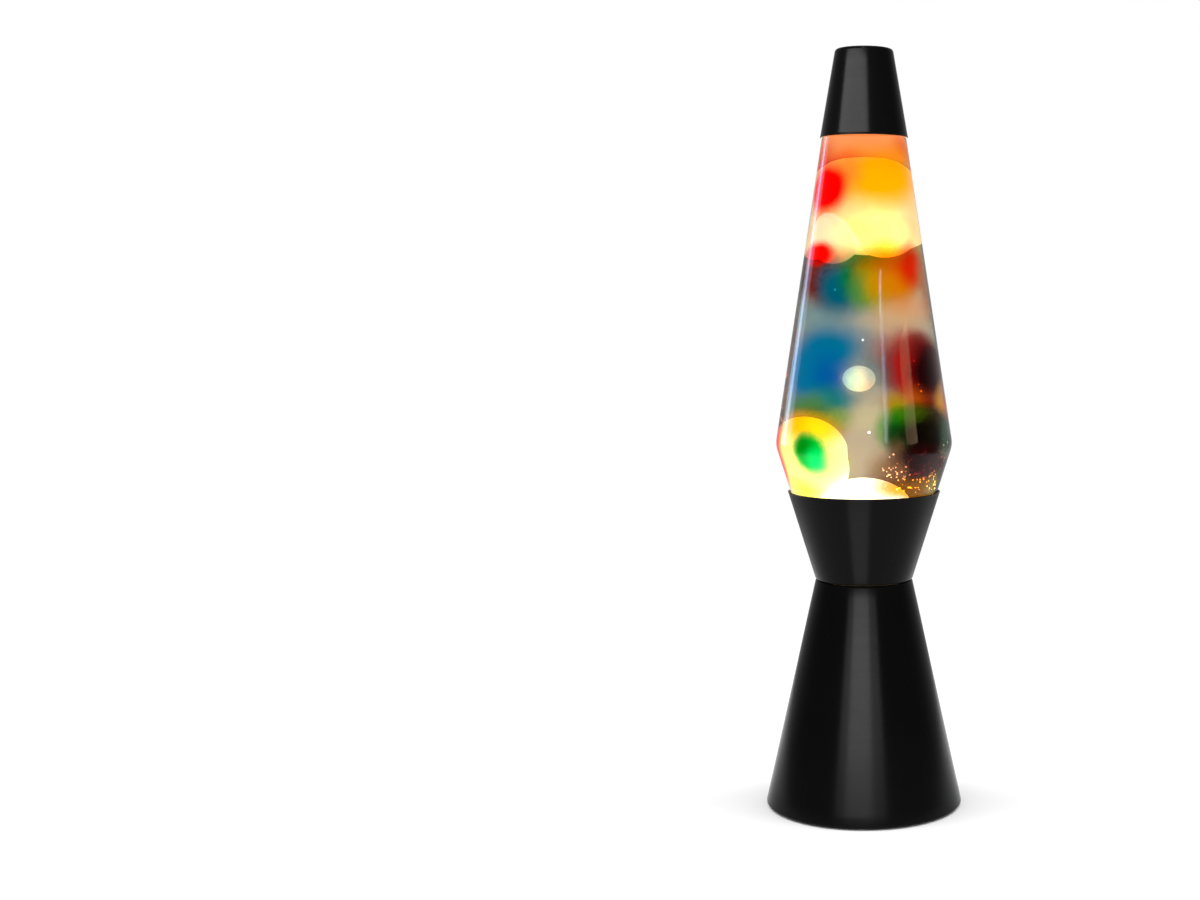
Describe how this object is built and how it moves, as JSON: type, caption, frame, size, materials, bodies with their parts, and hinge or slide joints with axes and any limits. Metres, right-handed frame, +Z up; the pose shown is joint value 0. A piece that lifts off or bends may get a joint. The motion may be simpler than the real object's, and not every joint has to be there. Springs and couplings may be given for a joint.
{
  "type": "lava lamp",
  "caption": "Rocket-shaped lava lamp: black spun cone base, tapering rainbow-lacquered bottle with floating wax, crown cap and loose conical top cap.",
  "frame": {"origin": "centre of the lamp's footprint, on the surface that its feet stand on", "axes": "+Z up along the lamp's axis; the front faces -Y and the cord grommet is at the back, on +Y"},
  "size_m": [0.1042, 0.1042, 0.4],
  "materials": {
    "black_paint": "satin black paint on spun aluminium",
    "bottle_glass": "clear glass with a soft rainbow lacquer sprayed on its outside",
    "bulb_glass": "frosted face, lit from inside",
    "wax": "smooth molten cream wax, lit from below",
    "hot_wax": "smooth molten wax, white where the bulb lights it",
    "tinplate": "bright tinplate",
    "steel": "zinc-plated steel",
    "brass": "pressed brass",
    "tungsten": "drawn tungsten wire",
    "phenolic": "moulded black phenolic",
    "black_plastic": "fine-textured moulded plastic",
    "rubber": "soft black rubber",
    "insulator": "black glass-like insulator"
  },
  "bodies": {
    "base": {"base_cone": "black_paint", "base_cup": "black_paint", "socket_strap": "steel", "flange_screw_1": "steel", "flange_screw_2": "steel", "bottom_cover": "black_plastic", "bottom_cover_screw_1": "steel", "bottom_cover_screw_2": "steel", "bottom_cover_screw_3": "steel", "rubber_foot_1": "rubber", "rubber_foot_2": "rubber", "rubber_foot_3": "rubber", "rubber_foot_4": "rubber", "cord_grommet": "rubber", "lampholder_body": "phenolic", "lampholder_shell": "brass", "lampholder_contact": "brass", "terminal_screw_1": "steel", "terminal_screw_2": "steel", "threaded_nipple": "steel", "nipple_nut": "steel"},
    "bulb_tip": {"bulb_tip": "tinplate"},
    "bulb": {"bulb_insulator": "insulator", "bulb_cap": "tinplate", "bulb_glass": "bulb_glass", "bulb_stem": "bulb_glass", "bulb_lead_1": "steel", "bulb_lead_2": "steel", "bulb_filament": "tungsten"},
    "bottle": {"bottle_glass": "bottle_glass", "crown_cap": "tinplate", "crown_liner": "rubber", "heat_coil": "steel", "wax_mound": "hot_wax", "wax_top_mass": "wax"},
    "top_cap": {"top_cap": "black_paint"},
    "front_lobe": {"wax_front_lobe": "wax"},
    "small_blob": {"wax_small_blob": "wax"},
    "side_blob": {"wax_side_blob": "wax"}
  },
  "joints": [
    {"name": "bottle_lift", "type": "slide", "parent": "base", "child": "bottle", "axis": [0, 0, 1], "range_m": [0, 0.08]},
    {"name": "cap_lift", "type": "slide", "parent": "bottle", "child": "top_cap", "axis": [0, 0, 1], "range_m": [0, 0.06]},
    {"name": "bulb_travel", "type": "slide", "parent": "base", "child": "bulb_tip", "axis": [0, 0, 1], "range_m": [0, 0.0064]},
    {"name": "bulb_turn", "type": "hinge", "parent": "bulb_tip", "child": "bulb", "pos_m": [0, 0, 0.078], "axis": [0, 0, 1], "range_deg": [0, 810]},
    {"name": "front_lobe_drift", "type": "slide", "parent": "bottle", "child": "front_lobe", "axis": [0, 0, 1], "range_m": [-0.026, 0]},
    {"name": "small_blob_drift", "type": "slide", "parent": "bottle", "child": "small_blob", "axis": [0, 0, 1], "range_m": [-0.006, 0.018]},
    {"name": "side_blob_drift", "type": "slide", "parent": "bottle", "child": "side_blob", "axis": [0, 0, 1], "range_m": [0, 0.011]}
  ],
  "couplings": [
    {"joint": "bulb_travel", "follows": "bulb_turn", "m_per_rad": 0.00044914}
  ]
}
